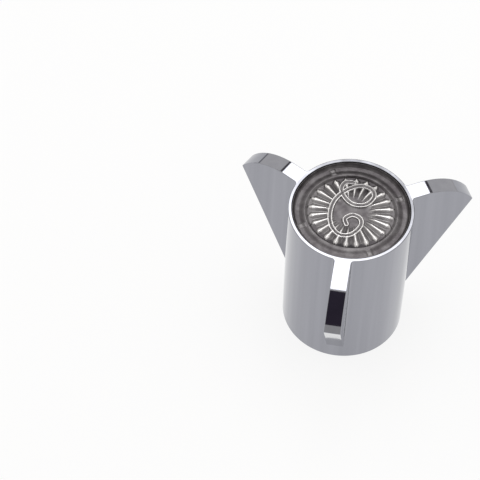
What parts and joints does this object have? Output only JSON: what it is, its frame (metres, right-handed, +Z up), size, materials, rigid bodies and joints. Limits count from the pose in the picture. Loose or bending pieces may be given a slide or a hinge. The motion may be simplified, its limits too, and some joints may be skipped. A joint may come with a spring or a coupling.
{
  "type": "tap handle",
  "caption": "Chrome tap handle with a round hollow skirt, flat radial fins, a fluted index button in a top recess and a splined spindle socket inside.",
  "frame": {"origin": "centre of the skirt's foot, on the axis of the spindle socket", "axes": "+Z up the axis towards the index button, -Y along one fin, +X to the right with that fin in front"},
  "size_m": [0.077, 0.0667, 0.056],
  "materials": {
    "chrome_plate": "polished chrome plate on a zinc casting",
    "antiqued_plate": "dark antiqued plate with bright high points",
    "screw_steel": "plain plated steel"
  },
  "bodies": {
    "root": {"handle_body": "chrome_plate", "index_button": "antiqued_plate", "handle_screw": "screw_steel"}
  },
  "joints": []
}
